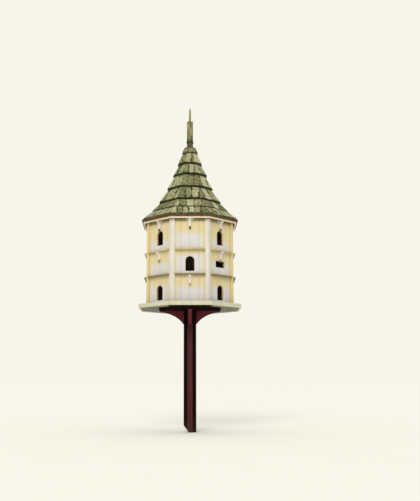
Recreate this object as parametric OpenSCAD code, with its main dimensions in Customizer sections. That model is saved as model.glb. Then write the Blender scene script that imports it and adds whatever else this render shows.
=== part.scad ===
// Octagonal pole dovecote: a hollow three-tier house on a post, with a bell-cast shingle roof.
// Millimetres, +Z up. The origin is the middle of the post's foot, and the front looks along -Y.

/* [Post] */
// Width of the octagonal post across its flats
post_w = 122; // [100:1:150]
// Height of the post from its foot to the mounting plate
post_h = 1162; // [900:2:2400]
// Height of the slanting cut at the foot's left side
foot_cut_h = 65; // [30:1:120]
// Distance from the foot's middle to the start of that cut
foot_flat = 8; // [4:1:30]

/* [Mounting plate and brackets] */
// Distance from the axis to each flat of the mounting plate
plate_r = 300; // [240:5:360]
// Thickness of the mounting plate
plate_t = 23; // [15:1:35]
// Thickness of each bracket
bracket_t = 46; // [30:1:50]
// Height of each bracket where it meets the post
bracket_h = 135; // [90:1:200]
// How far each bracket stops inside the mounting plate's edge
bracket_inset = 4; // [0:1:20]
// Depth of each bracket's outer end
bracket_tip = 5; // [3:1:15]
// Hollow of each bracket's curve: 0.5 is straight, and less is more hollow
bracket_hollow = 0.25; // [0.1:0.05:0.5]

/* [House] */
// Distance from the axis to the outside of each wall
wall_r = 410; // [380:1:620]
// Thickness of each wall board
wall_t = 20; // [12:1:30]
// Height of the bottom tier, from platform to middle of the lower ledge
low_tier_h = 258; // [235:1:320]
// Height of the middle tier, between the middles of the two ledges
middle_tier_h = 240; // [230:1:320]
// Height of the top tier, from the middle of the upper ledge to the eaves board
top_tier_h = 294; // [260:1:340]
// Thickness of the two inside floors
floor_t = 12; // [6:1:16]
// Thickness of the upright boards between the nests
nest_board_t = 12; // [8:1:18]
// Width of the king post inside the house, across its flats
king_post_w = 90; // [80:1:140]
// Gap between the king post and the boards that it passes through
king_post_gap = 4; // [1:0.5:8]
// Width of a corner board on each of the two walls that it wraps
corner_w = 27; // [18:1:40]
// Thickness of the corner boards
corner_t = 12; // [8:1:20]

/* [Platform and ledges] */
// How far the platform reaches out past the walls, rim and all
platform_out = 83; // [60:1:200]
// Thickness of the platform board
platform_t = 28; // [18:1:30]
// Height of the rim board round the platform
rim_h = 38; // [32:1:60]
// Thickness of the rim board
rim_t = 16; // [10:1:24]
// Gap between the mounting plate and the battens under the platform's front and back
batten_gap = 37; // [5:1:60]
// Thickness of the battens
batten_t = 18; // [12:1:22]
// How far the ledges stand out from the walls
ledge_out = 36; // [25:1:60]
// Thickness of the ledges
ledge_t = 18; // [12:1:26]

/* [Pop holes] */
// Width of a pop hole
hole_w = 84; // [70:1:110]
// Height of a pop hole to the top of its arch
hole_h = 141; // [110:1:150]
// Rise from the platform to the holes of the bottom tier
low_sill = 25; // [12:1:50]
// Rise from the lower ledge to the holes of the middle tier
middle_sill = 23; // [12:1:40]
// Rise from the upper ledge to the holes of the top tier
top_sill = 48; // [15:1:60]
// Width of the low wide opening in the front right wall
slot_w = 125; // [90:1:150]
// Height of that opening
slot_h = 62; // [45:1:80]
// Rise from the lower ledge to that opening
slot_sill = 71; // [60:1:90]

/* [Corbels] */
// Width of each corbel's nose
corbel_w = 22; // [16:1:32]
// Height of each corbel
corbel_h = 76; // [50:1:90]
// How far each corbel stands out from its wall
corbel_out = 36; // [20:1:40]
// Height of the upright face at the corbel's top
corbel_lip_h = 15; // [6:1:30]
// Depth of the nose at its lower end, in front of the board behind it
corbel_toe = 4; // [2:1:12]
// Width of the shaped board behind each corbel, at its top
scroll_w = 84; // [50:1:110]
// Thickness of that board
scroll_t = 8; // [5:1:10]
// Diameter of the turned drop under each corbel
drop_d = 20; // [12:1:22]
// Gap that the drop's neck spans between corbel and ball
drop_neck_h = 6; // [3:1:10]
// Diameter of that neck
drop_neck_d = 8; // [5:1:10]

/* [Roof] */
// How far the eaves reach out past the walls
eaves_out = 59; // [45:1:160]
// Thickness of the board that closes the top of the walls
eaves_board_t = 17; // [12:1:25]
// How far the pale fascia under the roof's edge hangs below that board
fascia_drop = 1; // [0:1:20]
// Thickness of the fascia
fascia_t = 14; // [8:1:20]
// Height of the dark strip that carries the lowest shingles
edge_strip_h = 20; // [10:1:30]
// Width of the dark strip, measured in from the roof's edge
edge_strip_w = 70; // [50:1:90]
// Height of the roof above the dark strip, up to the cap
roof_h = 725; // [500:1:1000]
// Thickness of the roof boards under the shingles, measured level
roof_board_t = 16; // [10:1:18]
// Thickness of a shingle course at its lower edge, measured level
butt_t = 13; // [8:1:18]
// How much thicker the upper courses are there, so that the roof rises in steps
butt_step = 9; // [0:1:14]
// Thickness of a shingle course where the next one covers it, measured level
head_t = 3; // [2:1:5]

/* [Cap and finial] */
// How far the cap's foot reaches out past the top of the roof boards
cap_out = 13; // [8:1:30]
// How far the cap draws in from its foot to its top
cap_taper = 22; // [8:1:24]
// Height of the cap
cap_h = 65; // [40:1:90]
// Height of the upright band at the cap's foot
cap_band_h = 13; // [5:1:25]
// Width of the octagonal finial shaft across its flats
shaft_w = 62; // [40:1:80]
// Height of the shaft
shaft_h = 284; // [200:2:400]
// Width of the dark ring low on the shaft
ring_w = 70; // [66:1:100]
// Height of the ring
ring_h = 23; // [14:1:40]
// Rise from the cap to the underside of the ring
ring_rise = 51; // [30:1:100]
// Depth of the groove that the ring sits in
ring_seat = 4; // [2:1:8]
// Diameter of the spike
spike_d = 22; // [14:1:30]
// Height of the spike
spike_h = 148; // [80:2:200]
// Height of the spike's pointed end
spike_point_h = 30; // [15:1:60]
// Diameter of the spike's blunt tip
spike_tip_d = 7; // [3:0.5:10]

/* [Hidden] */

$fa = 4;
$fs = 1;

// Levels, from the ground up
plate_z = post_h;
board_z = plate_z + plate_t;
platform_top = board_z + platform_t;
lower_ledge_z = platform_top + low_tier_h;
upper_ledge_z = lower_ledge_z + middle_tier_h;
wall_top = upper_ledge_z + top_tier_h;
edge_strip_z = wall_top + eaves_board_t;
roof_z = edge_strip_z + edge_strip_h;
roof_top = roof_z + roof_h;
shaft_z = roof_top + cap_h;
spike_z = shaft_z + shaft_h;

// Plan of the house: the angle of the mitres, half a wall's length, and what lies inside
mitre = 22.5;
wall_h = wall_top - platform_top;
half_wall = wall_r * tan(mitre);
inside_r = wall_r - wall_t;
eaves_r = wall_r + eaves_out;
fascia_r = eaves_r - butt_t;
platform_r = wall_r + platform_out;
rim_inside_r = platform_r - rim_t;
king_hole_r = king_post_w / 2 + king_post_gap;
fit_gap = 0.2;
far = 2 * platform_r;
cut_over = 1;

// The roof's curve. Each shingle course starts at one of these: its share of the roof's height,
// and how far out it lies, as a share of the way from the roof's top to the eaves.
roof_curve = [[0, 1], [0.025, 0.949], [0.14, 0.737], [0.27, 0.542], [0.47, 0.343], [0.67, 0.197],
              [0.84, 0.077], [1, 0]];
roof_top_r = king_hole_r + roof_board_t;
course_rs = [for (p = roof_curve) roof_top_r + (fascia_r - roof_top_r) * p[1]];
course_zs = [for (p = roof_curve) roof_z + roof_h * p[0]];
courses = len(roof_curve) - 1;
first_stepped_course = 4;
cap_r = roof_top_r + cap_out;

// A solid octagon with a flat at each side
module octagon(r, h) {
  rotate(mitre) cylinder(h = h, r = r / cos(mitre), $fn = 8);
}

// An octagonal ring with upright faces
module octagon_ring(r, t, h) {
  difference() {
    octagon(r, h);
    translate([0, 0, -cut_over]) octagon(r - t, h + 2 * cut_over);
  }
}

// A section of [distance from the axis, height] points carried round the eight sides
module eight_sided(section) {
  for (side = [0:7])
    rotate(side * 45)
      intersection() {
        linear_extrude(height = shaft_z + far)
          polygon([[0, 0], [far, -far * tan(mitre)], [far, far * tan(mitre)]]);
        rotate([90, 0, 0])
          linear_extrude(height = far, center = true) polygon(section);
      }
}

// Carries what is drawn against the front wall round to another side
module on_side(turns) {
  rotate(turns * 45) children();
}

// ---- Post, plate and brackets ----

module post() {
  color("#4a2021")
    difference() {
      octagon(post_w / 2, post_h);
      foot_cut();
    }
}

module foot_cut() {
  slope = foot_cut_h / (post_w / 2 - foot_flat);
  rotate([90, 0, 0])
    linear_extrude(height = far, center = true)
      polygon([[-foot_flat + cut_over / slope, -cut_over], [-post_w, -cut_over],
               [-post_w, slope * (post_w - foot_flat)]]);
}

module mounting_plate() {
  color("#3a1a1a") translate([0, 0, plate_z]) octagon(plate_r, plate_t);
}

// A bracket with a hollow curve from its thin outer end down to the post
module bracket(turns) {
  reach = plate_r - bracket_inset - post_w / 2;
  drop = bracket_h - bracket_tip;
  steps = 14;
  hollow = bracket_hollow;
  curve = [for (i = [0:steps]) let (t = i / steps, bend = 2 * t * (1 - t) * hollow)
    [reach * ((1 - t) * (1 - t) + bend), -bracket_tip - drop * (t * t + bend)]];
  color("#4a2021")
    rotate(turns * 90 - 90)
      translate([post_w / 2, 0, plate_z])
        rotate([90, 0, 0])
          linear_extrude(height = bracket_t, center = true)
            polygon(concat([[0, 0], [reach, 0]], curve));
}

// ---- Platform ----

module base_platform() {
  color("#8a8378") translate([0, 0, board_z]) octagon(rim_inside_r, platform_t);
}

module platform_rim() {
  color("#e6e6bf")
    translate([0, 0, platform_top - rim_h]) octagon_ring(platform_r, rim_t, rim_h);
}

// Two boards under the platform, just inside the rim at the front and at the back
module platform_battens() {
  half = rim_inside_r * tan(mitre) - fit_gap;
  batten_w = rim_inside_r - fit_gap - plate_r - batten_gap;
  color("#2f1b17")
    for (turns = [0, 4])
      on_side(turns)
        translate([-half, -rim_inside_r + fit_gap, board_z - batten_t])
          cube([2 * half, batten_w, batten_t]);
}

// ---- Walls ----

// One wall board, mitred to its neighbours
module wall_board() {
  inner_half = inside_r * tan(mitre);
  translate([0, 0, platform_top])
    linear_extrude(height = wall_h)
      polygon([[-half_wall, -wall_r], [half_wall, -wall_r],
               [inner_half, -inside_r], [-inner_half, -inside_r]]);
}

module pop_hole(sill_z) {
  arch_r = hole_w / 2;
  depth = wall_t + 2 * cut_over;
  translate([0, -wall_r + wall_t / 2, sill_z])
    rotate([90, 0, 0]) {
      translate([0, hole_h - arch_r, 0]) cylinder(h = depth, r = arch_r, center = true);
      translate([-arch_r, 0, -depth / 2]) cube([hole_w, hole_h - arch_r, depth]);
    }
}

module low_wide_opening() {
  translate([-slot_w / 2, -wall_r - cut_over, lower_ledge_z + ledge_t / 2 + slot_sill])
    cube([slot_w, wall_t + 2 * cut_over, slot_h]);
}

// A wall with one hole in the middle tier, as on the front
module square_wall(turns) {
  color("#efe2b0")
    on_side(turns)
      difference() {
        wall_board();
        pop_hole(lower_ledge_z + ledge_t / 2 + middle_sill);
      }
}

// A wall with a hole in the bottom tier and another in the top tier
module angled_wall(turns, wide_opening = false) {
  color("#ead9a0")
    on_side(turns)
      difference() {
        wall_board();
        pop_hole(platform_top + low_sill);
        pop_hole(upper_ledge_z + ledge_t / 2 + top_sill);
        if (wide_opening) low_wide_opening();
      }
}

// A board bent round the corner that lies to the right of the wall it is turned to
module corner_board(turns) {
  r = wall_r / cos(mitre);
  out_r = (wall_r + corner_t) / cos(mitre);
  edge = [r, 0] + [-sin(mitre), cos(mitre)] * corner_w;
  lip = edge + [cos(mitre), sin(mitre)] * corner_t;
  color("#e3dadb")
    rotate(turns * 45 - 90 + mitre)
      translate([0, 0, platform_top])
        linear_extrude(height = wall_h)
          polygon([[r, 0], edge, lip, [out_r, 0], [lip.x, -lip.y], [edge.x, -edge.y]]);
}

// ---- Ledges and corbels ----

module ledges(middle_z) {
  half = half_wall - corner_w - fit_gap;
  color("#e9dfb8")
    for (turns = [0:7])
      on_side(turns)
        translate([-half, -wall_r - ledge_out, middle_z - ledge_t / 2])
          cube([2 * half, ledge_out, ledge_t]);
}

// Places a corbel's children under the eaves of every wall and under the ledge below each hole
module at_each_corbel() {
  for (turns = [0:7]) on_side(turns) translate([0, -wall_r, wall_top]) children();
  for (turns = [0:2:6])
    on_side(turns) translate([0, -wall_r, lower_ledge_z - ledge_t / 2]) children();
  for (turns = [1:2:7])
    on_side(turns) translate([0, -wall_r, upper_ledge_z - ledge_t / 2]) children();
}

// A nose with a hollow front on a board cut to two hollow curves
module corbel() {
  steps = 10;
  sweep = corbel_h - corbel_lip_h;
  nose_end = scroll_t + corbel_toe;
  wing = (scroll_w - corbel_w) / 2;
  rotate([90, 0, -90])
    linear_extrude(height = corbel_w, center = true)
      polygon(concat([[0, -corbel_h], [0, 0], [corbel_out, 0]], [for (i = [0:steps])
        [nose_end + (corbel_out - nose_end) * (1 - sin(90 * i / steps)),
         -corbel_lip_h - sweep * (1 - cos(90 * i / steps))]]));
  for (side = [-1, 1])
    rotate([90, 0, 0])
      linear_extrude(height = scroll_t)
        polygon(concat([[0, -sweep], [0, 0], [side * scroll_w / 2, 0]], [for (i = [0:steps])
          [side * (corbel_w / 2 + wing * (1 - sin(90 * i / steps))),
           -scroll_t - (sweep - scroll_t) * (1 - cos(90 * i / steps))]]));
}

module corbels() {
  color("#e6e2e6") at_each_corbel() corbel();
}

// A turned ball on a short neck, under the corbel
module corbel_drop() {
  ball_z = -corbel_h - drop_neck_h - drop_d / 2;
  translate([0, -drop_d / 2 - fit_gap, 0]) {
    translate([0, 0, ball_z]) sphere(d = drop_d);
    translate([0, 0, ball_z]) cylinder(h = -corbel_h - ball_z, d = drop_neck_d);
  }
}

module corbel_drops() {
  color("#6f6a3c") at_each_corbel() corbel_drop();
}

// ---- Floors, king post and eaves ----

module king_post_hole(z, t) {
  translate([0, 0, z - cut_over])
    octagon(king_hole_r, t + 2 * cut_over);
}

module inside_floor(middle_z) {
  z = middle_z - floor_t / 2;
  color("#b9a572")
    difference() {
      translate([0, 0, z]) octagon(inside_r, floor_t);
      king_post_hole(z, floor_t);
    }
}

// Upright boards from the king post to the walls, each behind the middle of a wall with no hole
module nest_boards(bottom, top, walls) {
  color("#b09a6a")
    for (turns = walls)
      on_side(turns)
        translate([-nest_board_t / 2, -inside_r, bottom])
          cube([nest_board_t, inside_r - king_post_w / 2, top - bottom]);
}

module king_post() {
  color("#9c8a5e")
    translate([0, 0, platform_top]) octagon(king_post_w / 2, roof_top - platform_top);
}

module eaves_board() {
  color("#8b7d52")
    difference() {
      translate([0, 0, wall_top]) octagon(fascia_r - fascia_t, eaves_board_t);
      king_post_hole(wall_top, eaves_board_t);
    }
}

module eaves_fascia() {
  color("#ecd9bd")
    translate([0, 0, wall_top - fascia_drop])
      octagon_ring(fascia_r, fascia_t, eaves_board_t + fascia_drop);
}

module roof_edge_strip() {
  color("#5b4025")
    translate([0, 0, edge_strip_z]) octagon_ring(eaves_r, edge_strip_w, edge_strip_h);
}

// ---- Roof ----

module roof_boards() {
  outer = [for (i = [0:courses]) [course_rs[i], course_zs[i]]];
  inner = [for (i = [courses:-1:0]) [course_rs[i] - roof_board_t, course_zs[i]]];
  color("#6b5a3a") eight_sided(concat(outer, inner));
}

// One course of shingles, thick at its lower edge and thin where the next course covers it
module roof_course(i) {
  foot = [course_rs[i - 1], course_zs[i - 1]];
  head = [course_rs[i], course_zs[i]];
  butt = butt_t + (i < first_stepped_course ? 0 : butt_step);
  color(i % 2 == 0 ? "#8a8f5f" : "#7d8150")
    eight_sided([foot, foot + [butt, 0], head + [head_t, 0], head]);
}

// ---- Cap and finial ----

// A solid cap: what four slabs have in common, each with the cap's outline across two flats
module roof_cap() {
  band_z = roof_top + cap_band_h;
  cap_top_r = cap_r - cap_taper;
  outline = [[-cap_r, roof_top], [cap_r, roof_top], [cap_r, band_z], [cap_top_r, shaft_z],
             [-cap_top_r, shaft_z], [-cap_r, band_z]];
  color("#6b6b3f")
    intersection_for(turns = [0:3])
      rotate(turns * 45)
        rotate([90, 0, 0])
          linear_extrude(height = far, center = true) polygon(outline);
}

module finial_shaft() {
  color("#8f8e62")
    translate([0, 0, shaft_z]) {
      octagon(shaft_w / 2, ring_rise);
      octagon(shaft_w / 2 - ring_seat, shaft_h);
      translate([0, 0, ring_rise + ring_h]) octagon(shaft_w / 2, shaft_h - ring_rise - ring_h);
    }
}

module finial_ring() {
  color("#4c4a22")
    translate([0, 0, shaft_z + ring_rise])
      octagon_ring(ring_w / 2, (ring_w - shaft_w) / 2 + ring_seat, ring_h);
}

module finial_spike() {
  color("#76754d")
    translate([0, 0, spike_z])
      rotate_extrude()
        polygon([[0, 0], [spike_d / 2, 0], [spike_d / 2, spike_h - spike_point_h],
                 [spike_tip_d / 2, spike_h], [0, spike_h]]);
}

post();
mounting_plate();
bracket(0);  // bracket_front
bracket(1);  // bracket_right
bracket(2);  // bracket_back
bracket(3);  // bracket_left
base_platform();
platform_rim();
platform_battens();
square_wall(0);  // wall_front
angled_wall(1, wide_opening = true);  // wall_front_right
square_wall(2);  // wall_right
angled_wall(3);  // wall_back_right
square_wall(4);  // wall_back
angled_wall(5);  // wall_back_left
square_wall(6);  // wall_left
angled_wall(7);  // wall_front_left
corner_board(0);  // corner_front_right
corner_board(1);  // corner_right_front
corner_board(2);  // corner_right_back
corner_board(3);  // corner_back_right
corner_board(4);  // corner_back_left
corner_board(5);  // corner_left_back
corner_board(6);  // corner_left_front
corner_board(7);  // corner_front_left
ledges(lower_ledge_z);  // lower_ledges
ledges(upper_ledge_z);  // upper_ledges
corbels();
corbel_drops();
inside_floor(lower_ledge_z);  // middle_floor
inside_floor(upper_ledge_z);  // top_floor
king_post();
nest_boards(platform_top, lower_ledge_z - floor_t / 2, [0:2:6]);  // bottom_nest_boards
nest_boards(lower_ledge_z + floor_t / 2, upper_ledge_z - floor_t / 2, [3:2:7]);  // middle_nest_boards
nest_boards(upper_ledge_z + floor_t / 2, wall_top, [0:2:6]);  // top_nest_boards
eaves_board();
eaves_fascia();
roof_edge_strip();
roof_boards();
roof_course(1);  // roof_course_1
roof_course(2);  // roof_course_2
roof_course(3);  // roof_course_3
roof_course(4);  // roof_course_4
roof_course(5);  // roof_course_5
roof_course(6);  // roof_course_6
roof_course(7);  // roof_course_7
roof_cap();
finial_shaft();
finial_ring();
finial_spike();
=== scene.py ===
import math
import random

import bmesh
import bpy
from mathutils import Matrix, Vector


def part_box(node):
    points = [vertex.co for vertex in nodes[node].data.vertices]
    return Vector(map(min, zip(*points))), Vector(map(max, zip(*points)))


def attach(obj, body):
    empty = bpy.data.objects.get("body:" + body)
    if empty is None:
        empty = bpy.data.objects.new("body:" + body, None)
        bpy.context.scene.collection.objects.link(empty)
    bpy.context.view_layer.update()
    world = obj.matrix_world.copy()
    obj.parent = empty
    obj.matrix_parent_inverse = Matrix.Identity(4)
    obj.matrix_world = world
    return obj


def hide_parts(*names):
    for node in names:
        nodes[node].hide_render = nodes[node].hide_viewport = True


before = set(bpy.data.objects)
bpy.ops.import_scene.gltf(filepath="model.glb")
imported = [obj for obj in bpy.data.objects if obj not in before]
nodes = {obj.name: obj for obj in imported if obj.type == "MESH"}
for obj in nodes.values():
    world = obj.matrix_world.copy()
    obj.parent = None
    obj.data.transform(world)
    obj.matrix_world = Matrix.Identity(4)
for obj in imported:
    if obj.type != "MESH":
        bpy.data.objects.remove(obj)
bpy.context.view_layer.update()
mitre = math.radians(22.5)
eighthTurn = math.radians(45)
mm = 0.001
weld = 0.02 * mm  # points closer than this are one
smoothBelow = math.radians(34)  # edges that turn by less than this are shaded smooth
sideNames = ["front", "front_right", "right", "back_right", "back", "back_left", "left", "front_left"]
cornerNames = ["corner_front_right", "corner_right_front", "corner_right_back", "corner_back_right",
               "corner_back_left", "corner_left_back", "corner_left_front", "corner_front_left"]


# Colour and node helpers

def hexLinear(text):
    # sRGB hex to the linear numbers that the shader wants
    channels = [int(text[i:i + 2], 16) / 255 for i in (1, 3, 5)]
    return [c / 12.92 if c <= 0.04045 else ((c + 0.055) / 1.055) ** 2.4 for c in channels] + [1.0]


def addNode(tree, kind, settings=None, links=None):
    # settings go to an input of that name or number, or else to the node itself
    node = tree.nodes.new(kind)
    for key, value in (settings or {}).items():
        if isinstance(key, str) and hasattr(node, key):
            setattr(node, key, value)
        else:
            node.inputs[key].default_value = value
    for key, socket in (links or {}).items():
        tree.links.new(socket, node.inputs[key])
    return node


def setRamp(node, stops):
    ramp = node.color_ramp
    while len(ramp.elements) < len(stops):
        ramp.elements.new(0.5)
    for element, (place, colour) in zip(ramp.elements, stops):
        element.position = place
        element.color = colour if not isinstance(colour, float) else (colour, colour, colour, 1)
    return node.outputs["Color"]


def mixColours(tree, factor, first, second, blend="MIX"):
    node = addNode(tree, "ShaderNodeMix", {"data_type": "RGBA", "blend_type": blend, "clamp_factor": True})
    for number, value in ((0, factor), (6, first), (7, second)):
        if isinstance(value, bpy.types.NodeSocket):
            tree.links.new(value, node.inputs[number])
        else:
            node.inputs[number].default_value = value
    return node.outputs[2]


def mathStep(tree, operation, first, second=0.5, clamp=False):
    node = addNode(tree, "ShaderNodeMath", {"operation": operation, "use_clamp": clamp})
    for number, value in ((0, first), (1, second)):
        if isinstance(value, bpy.types.NodeSocket):
            tree.links.new(value, node.inputs[number])
        else:
            node.inputs[number].default_value = value
    return node.outputs[0]


def stretchedNoise(tree, coordinates, spacing, detail=4.0, roughness=0.55):
    # spacing is the size of one blotch in metres along X, Y and Z
    mapping = addNode(tree, "ShaderNodeMapping", {"Scale": [1 / s for s in spacing]},
                      {"Vector": coordinates})
    noise = addNode(tree, "ShaderNodeTexNoise", {"Scale": 1.0, "Detail": detail, "Roughness": roughness},
                    {"Vector": mapping.outputs[0]})
    return noise.outputs[0]


def startMaterial(name, roughness, specular):
    material = bpy.data.materials.new(name)
    material.use_nodes = True
    tree = material.node_tree
    tree.nodes.clear()
    shader = addNode(tree, "ShaderNodeBsdfPrincipled", {
        "Roughness": roughness, "Specular IOR Level": specular})
    addNode(tree, "ShaderNodeOutputMaterial", links={"Surface": shader.outputs[0]})
    objectPlace = addNode(tree, "ShaderNodeTexCoord").outputs["Object"]
    return material, tree, shader, objectPlace


def addBump(tree, shader, height, distance):
    bump = addNode(tree, "ShaderNodeBump", {"Strength": 1.0, "Distance": distance},
                   {"Height": height})
    tree.links.new(bump.outputs[0], shader.inputs["Normal"])


# Materials

wallPaint = dict(
    cream="#dfcda1", deepCream="#d4bc86", highlightPale="#d4d1cf", greenish="#d9d4aa",
    grainAcross=3 * mm, grainAlong=180 * mm,  # softwood grain that shows through the paint
    blotch=90 * mm, fadeHalfWidth=0.102, low=1.213, high=2.005,
    eaveShade="#857a50", eaveShadeFrom=1.975, eaveShadeTo=1.99,  # painted shadow: a dark band right under the eaves
    # share of painted highlight at each height: none in the painted shade under ledges and eaves, most
    # above a ledge
    straightWalls=[(1.213, 0.75), (1.235, 1.0), (1.335, 1.0), (1.375, 0.12), (1.465, 0.0),
                   (1.482, 0.85), (1.52, 1.0), (1.635, 1.0), (1.672, 0.1), (1.702, 0.0),
                   (1.722, 0.8), (1.75, 1.0), (1.845, 1.0), (1.885, 0.1), (2.005, 0.0)],
    slantedWalls=[(1.213, 0.8), (1.235, 1.0), (1.345, 1.0), (1.385, 0.12), (1.465, 0.0),
                  (1.482, 0.4), (1.5, 0.9), (1.575, 1.0), (1.615, 0.1), (1.702, 0.0),
                  (1.722, 0.7), (1.745, 1.0), (1.79, 1.0), (1.83, 0.1), (2.005, 0.0)])


def makeWallPaint():
    # limewash-like exterior paint brushed on softwood: chalky, cream in painted shade under ledges and
    # eaves and near white as painted light in the middle of each tier, with the grain of the boards just
    # showing
    p = wallPaint
    material, tree, shader, place = startMaterial("chalky_cream_paint_with_painted_light_and_shade", 0.72, 0.3)
    uv = addNode(tree, "ShaderNodeUVMap", {"uv_map": "wallFace"}).outputs[0]
    slanted = addNode(tree, "ShaderNodeAttribute", {"attribute_name": "slanted"}).outputs["Fac"]
    split = addNode(tree, "ShaderNodeSeparateXYZ", links={0: uv})
    blotches = stretchedNoise(tree, place, [p["blotch"]] * 3, 5.0, 0.6)
    drift = mathStep(tree, "MULTIPLY", mathStep(tree, "SUBTRACT", blotches, 0.5), 0.09)
    height = mathStep(tree, "ADD", split.outputs[1], drift)
    share = mathStep(tree, "DIVIDE", mathStep(tree, "SUBTRACT", height, p["low"]), p["high"] - p["low"])
    byHeight = []
    for key in ("straightWalls", "slantedWalls"):
        ramp = addNode(tree, "ShaderNodeValToRGB", links={0: share})
        stops = [((z - p["low"]) / (p["high"] - p["low"]), float(v)) for z, v in p[key]]
        byHeight.append(setRamp(ramp, stops))
    # painted light and shade by height: pale where the wall is taken as lit, cream under ledges and eaves
    highlightShare = mixColours(tree, slanted, byHeight[0], byHeight[1])
    # painted shade towards each wall's left and right edges
    fromMiddle = mathStep(tree, "ADD", mathStep(tree, "ABSOLUTE", split.outputs[0]), drift)
    edge = addNode(tree, "ShaderNodeMapRange", {
        "interpolation_type": "SMOOTHSTEP", 1: p["fadeHalfWidth"], 2: p["fadeHalfWidth"] + 0.034,
        3: 1.0, 4: 0.3}, {0: fromMiddle})
    highlightShare = mathStep(tree, "MULTIPLY", highlightShare, edge.outputs[0], True)
    streaks = stretchedNoise(tree, place, [14 * mm, 14 * mm, 320 * mm], 3.0)
    shadeCream = mixColours(tree, streaks, hexLinear(p["cream"]), hexLinear(p["deepCream"]))
    shadeCream = mixColours(tree, mathStep(tree, "MULTIPLY", blotches, 0.6), shadeCream,
                           hexLinear(p["greenish"]))
    colour = mixColours(tree, highlightShare, shadeCream, hexLinear(p["highlightPale"]))
    # painted shadow of the eaves: a dark olive band at the wall's top
    level = mathStep(tree, "ADD", split.outputs[1], mathStep(tree, "MULTIPLY", streaks, 8 * mm))
    eaveShade = addNode(tree, "ShaderNodeMapRange", {
        1: p["eaveShadeFrom"] + 4 * mm, 2: p["eaveShadeTo"] + 4 * mm, 3: 0.0, 4: 0.75}, {0: level})
    colour = mixColours(tree, eaveShade.outputs[0], colour, hexLinear(p["eaveShade"]))
    tree.links.new(colour, shader.inputs["Base Color"])
    grain = stretchedNoise(tree, place, [p["grainAcross"]] * 2 + [p["grainAlong"]], 3.0)
    brush = stretchedNoise(tree, place, [1.2 * mm, 1.2 * mm, 60 * mm], 2.0)
    rough = addNode(tree, "ShaderNodeMapRange", {3: 0.6, 4: 0.85}, {0: grain})
    tree.links.new(rough.outputs[0], shader.inputs["Roughness"])
    addBump(tree, shader, mathStep(tree, "ADD", grain, mathStep(tree, "MULTIPLY", brush, 0.5)), 0.5 * mm)
    return material


def makeTrimPaint(name, light, warm, rough=0.6, sideShadeFrom=None):
    # exterior trim paint on planed softwood: smoother than the walls, with faint brush marks up and
    # down and warmer stained patches; the last argument gives a distance from the middle past which a
    # painted shade of deeper cream falls
    material, tree, shader, place = startMaterial(name, rough, 0.35)
    blotches = stretchedNoise(tree, place, [60 * mm, 60 * mm, 160 * mm], 5.0, 0.6)
    amount = addNode(tree, "ShaderNodeMapRange", {1: 0.38, 2: 0.72, 3: 0.0, 4: 0.8}, {0: blotches})
    colour = mixColours(tree, amount.outputs[0], hexLinear(light), hexLinear(warm))
    # painted shade: boards far to the left and right turn deeper cream
    if sideShadeFrom:
        split = addNode(tree, "ShaderNodeSeparateXYZ", links={0: place})
        sideways = mathStep(tree, "ABSOLUTE", split.outputs[0])
        fade = addNode(tree, "ShaderNodeMapRange", {1: sideShadeFrom, 2: sideShadeFrom + 0.04}, {0: sideways})
        colour = mixColours(tree, fade.outputs[0], colour, hexLinear("#d9c691"))
    tree.links.new(colour, shader.inputs["Base Color"])
    grain = stretchedNoise(tree, place, [2 * mm, 2 * mm, 150 * mm], 3.0)
    roughness = addNode(tree, "ShaderNodeMapRange", {3: rough - 0.1, 4: rough + 0.15}, {0: grain})
    tree.links.new(roughness.outputs[0], shader.inputs["Roughness"])
    addBump(tree, shader, grain, 0.35 * mm)
    return material


def makeBoard(name, light, dark, along, rough=0.8, grainDepth=0.6 * mm):
    # sawn or weathered board: silvered streaks along the grain, which stand a little proud
    material, tree, shader, place = startMaterial(name, rough, 0.25)
    spacing = [5 * mm] * 3
    spacing["XYZ".index(along)] = 260 * mm
    grain = stretchedNoise(tree, place, spacing, 6.0, 0.65)
    blotches = stretchedNoise(tree, place, [120 * mm] * 3, 4.0)
    amount = mathStep(tree, "ADD", mathStep(tree, "MULTIPLY", grain, 0.7),
                      mathStep(tree, "MULTIPLY", blotches, 0.3))
    ramp = addNode(tree, "ShaderNodeValToRGB", links={0: amount})
    colour = setRamp(ramp, [(0.32, hexLinear(dark)), (0.68, hexLinear(light))])
    tree.links.new(colour, shader.inputs["Base Color"])
    addBump(tree, shader, grain, grainDepth)
    return material


def makePostPaint(name, base, worn, rough, specular):
    # old oil paint on timber: deep colour with a little shine left, dulled and paler in patches, and
    # brown with splashed earth near the ground
    material, tree, shader, place = startMaterial(name, rough, specular)
    blotches = stretchedNoise(tree, place, [40 * mm, 40 * mm, 300 * mm], 5.0, 0.6)
    amount = addNode(tree, "ShaderNodeMapRange", {1: 0.45, 2: 0.78}, {0: blotches})
    colour = mixColours(tree, amount.outputs[0], hexLinear(base), hexLinear(worn))
    height = addNode(tree, "ShaderNodeSeparateXYZ", links={0: place}).outputs[2]
    splash = mathStep(tree, "ADD", height, mathStep(tree, "MULTIPLY", blotches, 0.12))
    dirt = addNode(tree, "ShaderNodeMapRange", {1: 0.08, 2: 0.2, 3: 0.55, 4: 0.0}, {0: splash})
    colour = mixColours(tree, dirt.outputs[0], colour, hexLinear("#3b2c20"))
    tree.links.new(colour, shader.inputs["Base Color"])
    roughness = addNode(tree, "ShaderNodeMapRange", {3: rough - 0.08, 4: rough + 0.25}, {0: blotches})
    tree.links.new(roughness.outputs[0], shader.inputs["Roughness"])
    grain = stretchedNoise(tree, place, [3 * mm, 3 * mm, 200 * mm], 4.0)
    addBump(tree, shader, grain, 0.4 * mm)
    return material


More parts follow.
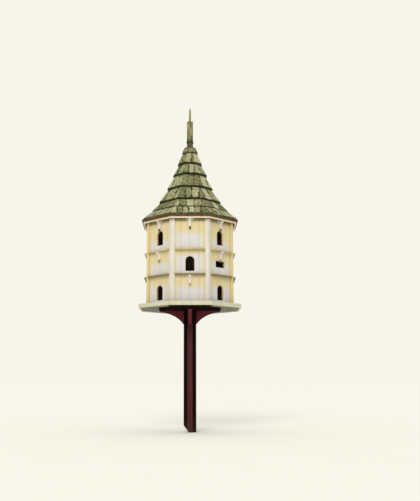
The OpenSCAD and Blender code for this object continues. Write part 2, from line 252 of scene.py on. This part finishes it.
def makeShingle():
    # split wooden shingles under lichen and moss: green-grey faces, each a little different, pale
    # lichen blotches, moss creeping out of the joints, and painted shade: a dark band at each butt over a
    # dark shadow line
    material, tree, shader, place = startMaterial("mossy_split_shingle_with_painted_shade", 0.85, 0.15)
    attribute = {}
    for key in ("side", "tone", "rise", "butt"):
        attribute[key] = addNode(tree, "ShaderNodeAttribute", {"attribute_name": key}).outputs["Fac"]
    blotches = stretchedNoise(tree, place, [17 * mm, 17 * mm, 24 * mm], 5.0, 0.7)
    patches = stretchedNoise(tree, place, [48 * mm, 48 * mm, 62 * mm], 3.0, 0.5)
    fibres = stretchedNoise(tree, place, [3 * mm, 3 * mm, 70 * mm], 4.0, 0.6)
    amount = mathStep(tree, "ADD", mathStep(tree, "MULTIPLY", attribute["tone"], 0.27),
                      mathStep(tree, "MULTIPLY", blotches, 1.05))
    amount = mathStep(tree, "ADD", amount, mathStep(tree, "MULTIPLY", fibres, 0.2))
    ramp = addNode(tree, "ShaderNodeValToRGB", links={0: amount})
    colour = setRamp(ramp, [(0.45, hexLinear("#3a3d1c")), (0.61, hexLinear("#666843")),
                            (0.75, hexLinear("#8d8c66")), (0.95, hexLinear("#bfbe9b"))])
    creep = mathStep(tree, "MULTIPLY", mathStep(tree, "SUBTRACT", patches, 0.44), 2.8)
    joint = mathStep(tree, "ADD", attribute["side"], mathStep(tree, "MAXIMUM", creep, 0.0))
    joint = mathStep(tree, "SUBTRACT", joint, mathStep(tree, "MULTIPLY", attribute["rise"], 0.12))
    moss = addNode(tree, "ShaderNodeMapRange", {1: 0.9, 2: 1.08, 3: 0.0, 4: 0.8}, {0: joint})
    colour = mixColours(tree, moss.outputs[0], colour, hexLinear("#30340f"))
    # painted shadow on each course just under the butts of the course above
    ramp = addNode(tree, "ShaderNodeValToRGB", links={0: attribute["rise"]})
    shadeUnderCourse = setRamp(ramp, [(0.86, 0.0), (0.97, 0.8)])
    colour = mixColours(tree, shadeUnderCourse, colour, hexLinear("#262808"))
    # painted shade: a dark band at each course's foot
    butt = mathStep(tree, "ADD", attribute["butt"], mathStep(tree, "MULTIPLY", blotches, 0.5))
    darkBand = addNode(tree, "ShaderNodeMapRange", {1: 0.95, 2: 1.4, 3: 0.95, 4: 0.0}, {0: butt})
    colour = mixColours(tree, darkBand.outputs[0], colour, hexLinear("#23260a"))
    tree.links.new(colour, shader.inputs["Base Color"])
    height = mathStep(tree, "ADD", fibres, mathStep(tree, "MULTIPLY", blotches, 0.8))
    addBump(tree, shader, height, 1.6 * mm)
    return material


def makeWeatheredOlive(name, light, mid, dark, darkHeights=None):
    # painted wood under algae: olive green, paler on worn patches and dark in the cracks, with
    # darker bands at the listed heights
    material, tree, shader, place = startMaterial(name, 0.7, 0.25)
    blotches = stretchedNoise(tree, place, [18 * mm, 18 * mm, 60 * mm], 5.0, 0.6)
    ramp = addNode(tree, "ShaderNodeValToRGB", links={0: blotches})
    colour = setRamp(ramp, [(0.33, hexLinear(dark)), (0.5, hexLinear(mid)), (0.68, hexLinear(light))])
    if darkHeights:
        low, high = darkHeights[0][0], darkHeights[-1][0]
        height = addNode(tree, "ShaderNodeSeparateXYZ", links={0: place}).outputs[2]
        height = mathStep(tree, "ADD", height, mathStep(tree, "MULTIPLY", blotches, 4 * mm))
        share = mathStep(tree, "DIVIDE", mathStep(tree, "SUBTRACT", height, low), high - low)
        ramp = addNode(tree, "ShaderNodeValToRGB", links={0: share})
        darkBand = setRamp(ramp, [((z - low) / (high - low), float(v)) for z, v in darkHeights])
        colour = mixColours(tree, darkBand, colour, hexLinear("#33311a"))
    tree.links.new(colour, shader.inputs["Base Color"])
    grain = stretchedNoise(tree, place, [2.5 * mm, 2.5 * mm, 120 * mm], 4.0)
    addBump(tree, shader, grain, 0.5 * mm)
    return material


def makeDropPaint():
    # turned wood under old paint, with painted shade: dark high up under the eaves, pale lower down
    material, tree, shader, place = startMaterial("old_paint_with_painted_shade_on_turned_drops", 0.65, 0.25)
    blotches = stretchedNoise(tree, place, [8 * mm] * 3, 4.0)
    height = addNode(tree, "ShaderNodeSeparateXYZ", links={0: place}).outputs[2]
    amount = addNode(tree, "ShaderNodeMapRange", {1: 1.45, 2: 1.85}, {0: height}).outputs[0]
    dark = mixColours(tree, blotches, hexLinear("#68663a"), hexLinear("#3b3919"))
    pale = mixColours(tree, blotches, hexLinear("#c9be92"), hexLinear("#98905f"))
    tree.links.new(mixColours(tree, amount, pale, dark), shader.inputs["Base Color"])
    addBump(tree, shader, blotches, 0.3 * mm)
    return material


materials = dict(
    wall=makeWallPaint(),
    jamb=makeTrimPaint("tan_undercoat_on_softwood", "#cdb284", "#b9965f", 0.7),
    inside=makeBoard("smoky_bare_softwood", "#ad9583", "#6d5a4d", "Z", 0.9),
    # the corner boards beside the left and right walls get a deeper cream as painted shade
    corner=makeTrimPaint("white_trim_paint_with_painted_side_shade", "#dad6cf", "#d0c8b4", 0.55, sideShadeFrom=0.28),
    corbel=makeTrimPaint("white_paint_on_carved_softwood", "#dddadb", "#d3ccb8", 0.55),
    # painted shade: both ledges are olive and tan to stand for the shade under them, the lower one darker
    lowLedge=makeTrimPaint("olive_ledge_paint_with_painted_shade", "#8d855d", "#726a46", 0.7),
    highLedge=makeTrimPaint("cream_ledge_paint_with_painted_shade", "#c6bb8f", "#a89b6c", 0.65),
    fascia=makeTrimPaint("cream_fascia_paint_on_softwood", "#eadcc4", "#dfc9a6", 0.6),
    rim=makeTrimPaint("pale_green_cream_paint_on_softwood", "#cecbb3", "#c0bd9b", 0.6),
    # painted shade: the soffit boards are dark olive for the shade under the eaves
    soffit=makeBoard("olive_soffit_boards_with_painted_shade", "#73683f", "#51472a", "X", 0.8),
    under=makeBoard("silvered_platform_boards", "#8f8a80", "#635e55", "Y", 0.85),
    edge=makeBoard("brown_stained_edge_board", "#65492a", "#412b15", "X", 0.7),
    red=makePostPaint("dark_red_oil_paint_on_post", "#44181b", "#522526", 0.45, 0.15),
    # painted light: the brackets get a brighter red than the post to offset the shade they sit in
    brightenedBracketRed=makePostPaint("dark_red_oil_paint_with_painted_light_on_brackets", "#66262a", "#70302f", 0.5, 0.1),
    # near-black paint as painted shade: battens, mounting plate and the post and bracket chamfers stand
    # for deep shade under the platform
    black=makePostPaint("near_black_paint_as_painted_shade", "#170c08", "#23130e", 0.8, 0.01),
    shingle=makeShingle(),
    shaft=makeWeatheredOlive("algae_green_paint_on_finial", "#a6a47a", "#828157", "#55532f",
                             [(2.80, 0.6), (2.90, 0.75), (2.97, 0.1), (3.20, 0.0)]),
    cap=makeWeatheredOlive("algae_green_paint_on_roof_cap", "#a19f76", "#7c7b52", "#4c4a29",
                           [(2.764, 1.0), (2.775, 0.7), (2.785, 0.0), (2.815, 0.1), (2.829, 0.9)]),
    ring=makeWeatheredOlive("dark_algae_on_finial_ring", "#56532b", "#3c3a1b", "#24220b"),
    dropPaint=makeDropPaint(),
    roofBoard=makeBoard("stained_roof_boards", "#4d4225", "#2c2411", "Z", 0.85),
    bare=makeBoard("bare_sawn_softwood", "#a58a5c", "#6f5734", "Z", 0.85))
print("materials ready:", len(materials))


# Mesh helpers

def nodeCopy(name):
    # a merged copy of a CAD node, with flat areas as whole faces
    bm = bmesh.new()
    bm.from_mesh(nodes[name].data)
    bmesh.ops.remove_doubles(bm, verts=bm.verts, dist=weld)
    bmesh.ops.dissolve_limit(bm, angle_limit=math.radians(0.8), verts=bm.verts, edges=bm.edges)
    return bm


def ease(bm, width, segments=2, least=25, keep=None):
    # rounds the edges that turn by more than least degrees
    sharp = [e for e in bm.edges if e.is_manifold and e.calc_face_angle(0) > math.radians(least)
             and (keep is None or keep(e))]
    if sharp:
        bmesh.ops.bevel(bm, geom=sharp, offset=width, offset_type="OFFSET", affect="EDGES",
                        segments=segments, profile=0.5, material=-1, clamp_overlap=True)


def trim(bm, point, normal):
    # cuts off what lies beyond a plane and closes the cut
    geom = bm.verts[:] + bm.edges[:] + bm.faces[:]
    bmesh.ops.bisect_plane(bm, geom=geom, dist=1e-6, plane_co=point, plane_no=normal,
                           clear_outer=True)
    rim = [e for e in bm.edges if e.is_boundary]
    if rim:
        bmesh.ops.edgeloop_fill(bm, edges=rim)


def join(target, part):
    mesh = bpy.data.meshes.new("part")
    part.to_mesh(mesh)
    part.free()
    target.from_mesh(mesh)
    bpy.data.meshes.remove(mesh)


def rotated(bm, angle):
    bmesh.ops.rotate(bm, verts=bm.verts, cent=(0, 0, 0), matrix=Matrix.Rotation(angle, 3, "Z"))
    return bm


def finishPiece(bm, name, mats, replaced=()):
    bmesh.ops.dissolve_degenerate(bm, dist=weld, edges=bm.edges)
    for face in bm.faces:
        face.smooth = True
    for edge in bm.edges:
        edge.smooth = not edge.is_manifold or edge.calc_face_angle(0) < smoothBelow
    mesh = bpy.data.meshes.new(name)
    bm.to_mesh(mesh)
    bm.free()
    piece = bpy.data.objects.new(name, mesh)
    bpy.context.scene.collection.objects.link(piece)
    for material in mats:
        mesh.materials.append(material)
    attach(piece, "root")
    if replaced:
        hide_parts(*replaced)
    return piece


def easedNode(name, pieceName, mats, width, segments=2, paintBy=None):
    # a CAD node with its edges rounded as planed and painted wood has them
    bm = nodeCopy(name)
    ease(bm, width, segments)
    if paintBy:
        for face in bm.faces:
            face.material_index = paintBy(face)
    return finishPiece(bm, pieceName, mats, [name])


def looseBoxes(name):
    # the box of each separate solid in a CAD node
    bm = nodeCopy(name)
    boxes = []
    left = set(bm.verts)
    while left:
        island, waiting = set(), [left.pop()]
        while waiting:
            vert = waiting.pop()
            island.add(vert)
            waiting += [e.other_vert(vert) for e in vert.link_edges if e.other_vert(vert) not in island]
        left -= island
        points = [v.co for v in island]
        boxes.append((Vector([min(p[i] for p in points) for i in range(3)]),
                      Vector([max(p[i] for p in points) for i in range(3)])))
    bm.free()
    return sorted(boxes, key=lambda b: (round(b[0].z, 4), round(b[0].x, 4), round(b[0].y, 4)))


# Walls

wallPlan = dict(boards=4, joint=0.6 * mm, ease=2.2 * mm, sharpFrom=60,
                jambDepth=3 * mm, endMargin=1 * mm)  # what lies deeper than the face is a hole's jamb


def wallBoards(name, turn):
    source = rotated(nodeCopy(name), -turn * eighthTurn)
    outer = min(v.co.y for v in source.verts)
    half = max(v.co.x for v in source.verts)
    width = 2 * half / wallPlan["boards"]
    wall = bmesh.new()
    for number in range(wallPlan["boards"]):
        board = source.copy()
        left = -half + number * width + wallPlan["joint"] / 2
        right = left + width - wallPlan["joint"]
        if number > 0:
            trim(board, (left, 0, 0), (-1, 0, 0))
        if number < wallPlan["boards"] - 1:
            trim(board, (right, 0, 0), (1, 0, 0))
        ease(board, wallPlan["ease"], 2, wallPlan["sharpFrom"],
             lambda e: all(abs(v.co.y - outer) < 0.1 * mm for v in e.verts))
        join(wall, board)
    source.free()
    holeHalf = half - wallPlan["endMargin"]
    for face in wall.faces:
        centre = face.calc_center_median()
        if face.normal.y > 0.7:
            face.material_index = 2
        elif (abs(face.normal.y) < 0.3 and abs(centre.y - outer) > wallPlan["jambDepth"]
              and abs(centre.x) < holeHalf):
            face.material_index = 1
    slanted = wall.verts.layers.float.new("slanted")
    for vert in wall.verts:
        vert[slanted] = turn % 2
    uv = wall.loops.layers.uv.new("wallFace")
    for face in wall.faces:
        for loop in face.loops:
            loop[uv].uv = (loop.vert.co.x, loop.vert.co.z)
    rotated(wall, turn * eighthTurn)
    mats = [materials["wall"], materials["jamb"], materials["inside"]]
    return finishPiece(wall, "boarded_" + name, mats, [name])


for turn, side in enumerate(sideNames):
    wallBoards("wall_" + side, turn)
print("walls boarded")

# Corner boards, ledges and platform

trimPlan = dict(cornerEase=2.5 * mm, ledgeEase=5 * mm, rimEase=3 * mm, mitreGap=0.8 * mm)
platformPlan = dict(planks=9, plankGap=1.2 * mm, plankEase=1.5 * mm, battenEase=3 * mm)

for name in cornerNames:
    easedNode(name, "eased_" + name, [materials["corner"]], trimPlan["cornerEase"])
for name, key in (("lower_ledges", "lowLedge"), ("upper_ledges", "highLedge")):
    easedNode(name, "rounded_" + name, [materials[key]], trimPlan["ledgeEase"], 3)


def mitredRing(name, pieceName, mats, width):
    # the ring as eight boards that meet at the corners, each with rounded edges
    gap = trimPlan["mitreGap"]
    ring = bmesh.new()
    for side in range(8):
        board = rotated(nodeCopy(name), -side * eighthTurn)
        for sign in (-1, 1):
            normal = Vector((sign * math.cos(mitre), math.sin(mitre), 0))
            trim(board, (-sign * gap / 2 * math.cos(mitre), 0, 0), normal)
        ease(board, width, 2)
        join(ring, rotated(board, side * eighthTurn))
    return finishPiece(ring, pieceName, mats, [name])


def plankedNode(name, pieceName, mats, planks, gap, width):
    # an octagonal board laid as planks that run front to back
    low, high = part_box(name)
    step = (high - low).x / planks
    deck = bmesh.new()
    for number in range(planks):
        plank = nodeCopy(name)
        left = low.x + number * step + gap / 2
        if number > 0:
            trim(plank, (left, 0, 0), (-1, 0, 0))
        if number < planks - 1:
            trim(plank, (left + step - gap, 0, 0), (1, 0, 0))
        ease(plank, width, 1)
        join(deck, plank)
    return finishPiece(deck, pieceName, mats, [name])


plankedNode("base_platform", "platform_planks", [materials["under"]],
            platformPlan["planks"], platformPlan["plankGap"], platformPlan["plankEase"])
mitredRing("platform_rim", "mitred_platform_rim", [materials["rim"]],
           trimPlan["rimEase"])
# painted shade: the battens are near black for the deep shade under the platform
easedNode("platform_battens", "eased_platform_battens", [materials["black"]],
          platformPlan["battenEase"])
print("platform laid")

# Post, plate and brackets

postPlan = dict(ease=2.5 * mm, bracketChamfer=12 * mm, bracketEase=1.5 * mm, plateEase=3 * mm)


def postPaint(face):
    # the four wide faces are red, and the faces between them and the foot are nearly black as painted
    # shade on the post's sides
    facing = max(abs(face.normal.x), abs(face.normal.y))
    return 0 if facing > 0.96 else 1


def chamferedBracket(name):
    # the long edges of the hollow underside are chamfered and painted near black as painted shade under
    # the bracket
    bm = nodeCopy(name)
    lower = [e for e in bm.edges if len(e.link_faces) == 2
             and min(abs(f.normal.z) for f in e.link_faces) < 0.01
             and min(f.normal.z for f in e.link_faces) < -0.05]
    cut = bmesh.ops.bevel(bm, geom=lower, offset=postPlan["bracketChamfer"], offset_type="OFFSET",
                          affect="EDGES", segments=1, profile=0.5, material=-1, clamp_overlap=True)
    for face in cut["faces"]:
        face.material_index = 1
    ease(bm, postPlan["bracketEase"], 1, 30)
    return finishPiece(bm, "painted_" + name, [materials["brightenedBracketRed"], materials["black"]],
                       [name])


easedNode("post", "painted_post", [materials["red"], materials["black"]],
          postPlan["ease"], 2, postPaint)
for side in ("front", "right", "back", "left"):
    chamferedBracket("bracket_" + side)
easedNode("mounting_plate", "painted_mounting_plate", [materials["black"]],
          postPlan["plateEase"])
print("post and brackets painted")

# Corbels and their turned drops

corbelPlan = dict(ease=1.2 * mm)
easedNode("corbels", "carved_corbels", [materials["corbel"]], corbelPlan["ease"])
dropPlan = dict(
    steps=20,
    # half the width at each depth below the corbel, down the drop's neck, collar and ball
    neck=[(4.0, 0.0), (4.0, 1.5), (6.2, 2.6), (6.2, 4.2), (4.2, 5.4)], ballRadius=10.0, ballSteps=9)


def turnedDrops():
    p = dropPlan
    shapes = bmesh.new()
    for low, high in looseBoxes("corbel_drops"):
        middle = (low + high) / 2
        reach = (high.z - low.z) / mm
        centre = reach - p["ballRadius"]
        first = math.asin(p["neck"][-1][0] / p["ballRadius"])
        angles = [first + (math.pi - first) * i / p["ballSteps"] for i in range(p["ballSteps"] + 1)]
        outline = [(0.0, 0.0)] + p["neck"]
        outline += [(p["ballRadius"] * math.sin(a), centre - p["ballRadius"] * math.cos(a))
                    for a in angles]
        drop = bmesh.new()
        points = [drop.verts.new((middle.x + r * mm, middle.y, high.z - d * mm)) for r, d in outline]
        edges = [drop.edges.new(pair) for pair in zip(points, points[1:])]
        bmesh.ops.spin(drop, geom=points + edges, cent=middle, axis=(0, 0, 1), angle=math.tau,
                       steps=p["steps"], use_merge=True, use_duplicate=False)
        bmesh.ops.remove_doubles(drop, verts=drop.verts, dist=weld)
        bmesh.ops.recalc_face_normals(drop, faces=drop.faces)
        join(shapes, drop)
    return finishPiece(shapes, "turned_corbel_drops", [materials["dropPaint"]],
                       ["corbel_drops"])


turnedDrops()

# Eaves

eavesPlan = dict(planks=8, plankGap=1 * mm, plankEase=1.5 * mm, fasciaEase=2 * mm, edgeEase=3 * mm)
plankedNode("eaves_board", "eaves_soffit_boards", [materials["soffit"]],
            eavesPlan["planks"], eavesPlan["plankGap"], eavesPlan["plankEase"])
mitredRing("eaves_fascia", "mitred_eaves_fascia", [materials["fascia"]],
           eavesPlan["fasciaEase"])
mitredRing("roof_edge_strip", "mitred_roof_edge_strip", [materials["edge"]],
           eavesPlan["edgeEase"])
print("eaves built")

# Shingle courses

shinglePlan = dict(least=50 * mm, most=84 * mm, gap=2.4 * mm, drop=8 * mm, lap=12 * mm,
                   butts=[13 * mm] * 3 + [22 * mm] * 4, head=3 * mm, ease=1.2 * mm,
                   jitter=4 * mm, lift=2.5 * mm, seed=7, pastHip=4 * mm, hipGap=0.4 * mm,
                   lastShare=0.6,  # a strip narrower than this share of the least width isn't left
                   buttShadeBands=[7 * mm] * 3 + [16 * mm] * 4)  # painted shade: dark band at each course's foot


def courseLines(name):
    # where a course's foot and head lie on the front side: (distance from the axis, height) twice
    points = [v.co for v in nodes[name].data.vertices]
    footZ = min(p.z for p in points)
    headZ = max(p.z for p in points)
    footR = max(p.x for p in points if p.z < footZ + 1 * mm)
    headR = max(p.x for p in points if p.z > headZ - 1 * mm)
    return Vector((footR, footZ)), Vector((headR, headZ))


def oneShingle(left, right, foot, head, number, rng):
    # a tapered slab from foot to head of the course, thick at its butt
    p = shinglePlan
    # the width of the painted shade band at this course's foot
    darkBand, thick = p["buttShadeBands"][number - 1], p["butts"][number - 1]
    drop = p["drop"] if number > 1 else 0
    along = (head - foot).normalized()
    out = Vector((along.y, -along.x))
    length = (head - foot).length
    bm = bmesh.new()
    bmesh.ops.create_cube(bm, size=1.0)
    lengthwise = [e for e in bm.edges if abs(e.verts[0].co.z - e.verts[1].co.z) > 0.5]
    bmesh.ops.subdivide_edges(bm, edges=lengthwise, cuts=3, use_grid_fill=True)
    crosswise = [e for e in bm.edges if abs(e.verts[0].co.x - e.verts[1].co.x) > 0.5]
    bmesh.ops.subdivide_edges(bm, edges=crosswise, cuts=3, use_grid_fill=True)
    rise = bm.verts.layers.float.new("rise")
    tone = bm.verts.layers.float.new("tone")
    side = bm.verts.layers.float.new("side")
    butt = bm.verts.layers.float.new("butt")
    shade = rng.random()
    slant = rng.uniform(-1, 1) * p["jitter"]
    start = -drop + rng.uniform(-1, 1) * p["jitter"]
    lift = rng.uniform(-0.3, 1) * p["lift"]
    bow = rng.uniform(0, 1) * p["lift"]
    for vert in bm.verts:
        across, depth, way = vert.co.x + 0.5, vert.co.y + 0.5, vert.co.z + 0.5
        s = start + slant * (across - 0.5) * (1 - way) + (length + p["lap"] - start) * way
        thickness = along.y * (thick * (1 - way) + p["head"] * way)
        n = lift * (1 - way) + bow * math.sin(math.pi * way) - thickness * depth
        flat = foot + along * s + out * n
        vert.co = Vector((left + (right - left) * across, -flat.x, flat.y))
        vert[rise] = max(0.0, min(1.0, (s - start) / (length - start)))
        vert[tone] = shade
        vert[side] = abs(2 * across - 1)
        vert[butt] = (s - start) / darkBand
    ease(bm, p["ease"], 1, 40)
    return bm


def shingleCourse(number, rng):
    p = shinglePlan
    name = "roof_course_" + str(number)
    foot, head = courseLines(name)
    course = bmesh.new()
    for side in range(8):
        half = foot.x * math.tan(mitre) + p["pastHip"]
        left = -half
        while left < half:
            right = left + rng.uniform(p["least"], p["most"])
            if half - right < p["least"] * p["lastShare"]:
                right = half
            shingle = oneShingle(left + p["gap"] / 2, right - p["gap"] / 2, foot, head, number, rng)
            for sign in (-1, 1):
                normal = Vector((sign * math.cos(mitre), math.sin(mitre), 0))
                trim(shingle, (-sign * p["hipGap"], 0, 0), normal)
            if len(shingle.faces):
                join(course, rotated(shingle, side * eighthTurn))
            left = right
    return finishPiece(course, "shingles_" + str(number), [materials["shingle"]],
                       [name])


rng = random.Random(shinglePlan["seed"])
for number in range(1, len(shinglePlan["butts"]) + 1):
    shingleCourse(number, rng)
print("roof shingled")

# Cap and finial

finialPlan = dict(capEase=3 * mm, shaftEase=2 * mm, ringEase=3 * mm, spikeEase=1.5 * mm)
easedNode("roof_cap", "mossy_roof_cap", [materials["cap"]],
          finialPlan["capEase"])
easedNode("finial_shaft", "eased_finial_shaft", [materials["shaft"]],
          finialPlan["shaftEase"])
easedNode("finial_ring", "rounded_finial_ring", [materials["ring"]],
          finialPlan["ringEase"], 3)
easedNode("finial_spike", "eased_finial_spike", [materials["shaft"]],
          finialPlan["spikeEase"])
print("finial built")

# CAD nodes that keep their own mesh

keptNodes = dict(middle_floor="bare", top_floor="bare", king_post="inside", roof_boards="roofBoard",
                 bottom_nest_boards="inside", middle_nest_boards="inside", top_nest_boards="inside")
for name, key in keptNodes.items():
    nodes[name].data.materials.clear()
    nodes[name].data.materials.append(materials[key])

# Studio

studio = dict(
    floorRadius=60.0, floorColour="#fcfbf3", speckleColour="#f9f8ef", speckle=0.4,
    backColour="#f7f5e9", skyColour="#f6f6f2", lampColour="#fffaf2",
    skyStrength=0.68, keyStrength=1.5, keyHeight=31.0, keyLeft=10.0, keySoftness=30.0,
    topStrength=0.4, topSoftness=40.0)
view = dict(distance=7.2, eyeHeight=0.5, tilt=10.0, lens=52.46, shift=0.04)


def makeFloor():
    bm = bmesh.new()
    bmesh.ops.create_circle(bm, cap_ends=True, segments=96, radius=studio["floorRadius"])
    mesh = bpy.data.meshes.new("floor")
    bm.to_mesh(mesh)
    bm.free()
    floor = bpy.data.objects.new("floor", mesh)
    bpy.context.scene.collection.objects.link(floor)
    material, tree, shader, place = startMaterial("matt_floor", 0.95, 0.1)
    speckle = stretchedNoise(tree, place, [studio["speckle"]] * 3, 3.0)
    colour = mixColours(tree, speckle, hexLinear(studio["floorColour"]),
                        hexLinear(studio["speckleColour"]))
    tree.links.new(colour, shader.inputs["Base Color"])
    mesh.materials.append(material)


def makeLight(name, strength, softness, height, left):
    # a broad soft lamp far away, so many degrees high and so many to the left of the camera
    light = bpy.data.lights.new(name, "SUN")
    light.energy = strength
    light.angle = math.radians(softness)
    light.color = hexLinear(studio["lampColour"])[:3]
    lamp = bpy.data.objects.new(name, light)
    lamp.rotation_euler = (math.radians(90 - height), 0, math.radians(-left))
    bpy.context.scene.collection.objects.link(lamp)


def makeWorld():
    # an even pale sky for light, and the plain backdrop colour behind the dovecote
    world = bpy.data.worlds.new("studio_sky")
    world.use_nodes = True
    tree = world.node_tree
    tree.nodes.clear()
    sky = addNode(tree, "ShaderNodeBackground", {
        "Color": hexLinear(studio["skyColour"]), "Strength": studio["skyStrength"]})
    back = addNode(tree, "ShaderNodeBackground", {"Color": hexLinear(studio["backColour"])})
    path = addNode(tree, "ShaderNodeLightPath")
    mix = addNode(tree, "ShaderNodeMixShader", links={
        0: path.outputs["Is Camera Ray"], 1: sky.outputs[0], 2: back.outputs[0]})
    addNode(tree, "ShaderNodeOutputWorld", links={"Surface": mix.outputs[0]})
    bpy.context.scene.world = world


def makeCamera():
    data = bpy.data.cameras.new("camera")
    data.lens = view["lens"]
    data.shift_x = view["shift"]
    data.clip_end = 200
    camera = bpy.data.objects.new("camera", data)
    camera.location = (0, -view["distance"], view["eyeHeight"])
    camera.rotation_euler = (math.radians(90 + view["tilt"]), 0, 0)
    bpy.context.scene.collection.objects.link(camera)
    bpy.context.scene.camera = camera


makeFloor()
makeWorld()
makeLight("key", studio["keyStrength"], studio["keySoftness"], studio["keyHeight"], studio["keyLeft"])
makeLight("top", studio["topStrength"], studio["topSoftness"], 90.0, 0.0)
makeCamera()
bpy.context.scene.view_settings.view_transform = "Standard"
